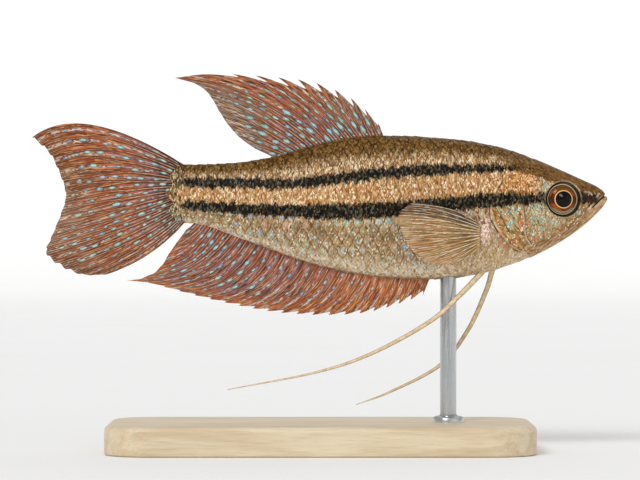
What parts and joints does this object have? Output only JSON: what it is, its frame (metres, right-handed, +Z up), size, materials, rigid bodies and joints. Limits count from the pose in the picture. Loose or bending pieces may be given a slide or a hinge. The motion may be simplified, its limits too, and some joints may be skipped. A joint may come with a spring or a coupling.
{
  "type": "fish figure",
  "caption": "Life-size still model of a croaking gourami, a small labyrinth fish with long fins, held swimming on a flat base by a slim rod.",
  "frame": {"origin": "centre of the whole part's box, on the underside of the stand's base", "axes": "+X towards the fish's snout, +Y to its left side, +Z up"},
  "size_m": [0.0704, 0.026, 0.0461],
  "materials": {
    "skin": "satin scaled skin",
    "fin": "satin",
    "pale_fin": "satin",
    "eye": "wet and shiny",
    "stand_wood": "pale matt varnish",
    "stand_steel": "satin"
  },
  "bodies": {
    "root": {"head": "skin", "trunk": "skin", "tail_stalk": "skin", "dorsal_fin": "fin", "anal_fin": "fin", "tail_fin": "fin", "pectoral_left": "pale_fin", "pectoral_right": "pale_fin", "pelvic_left_base": "pale_fin", "pelvic_left_tip": "pale_fin", "pelvic_right_base": "pale_fin", "pelvic_right_tip": "pale_fin", "eye_left": "eye", "eye_right": "eye", "stand_base": "stand_wood", "stand_rod": "stand_steel"}
  },
  "joints": []
}
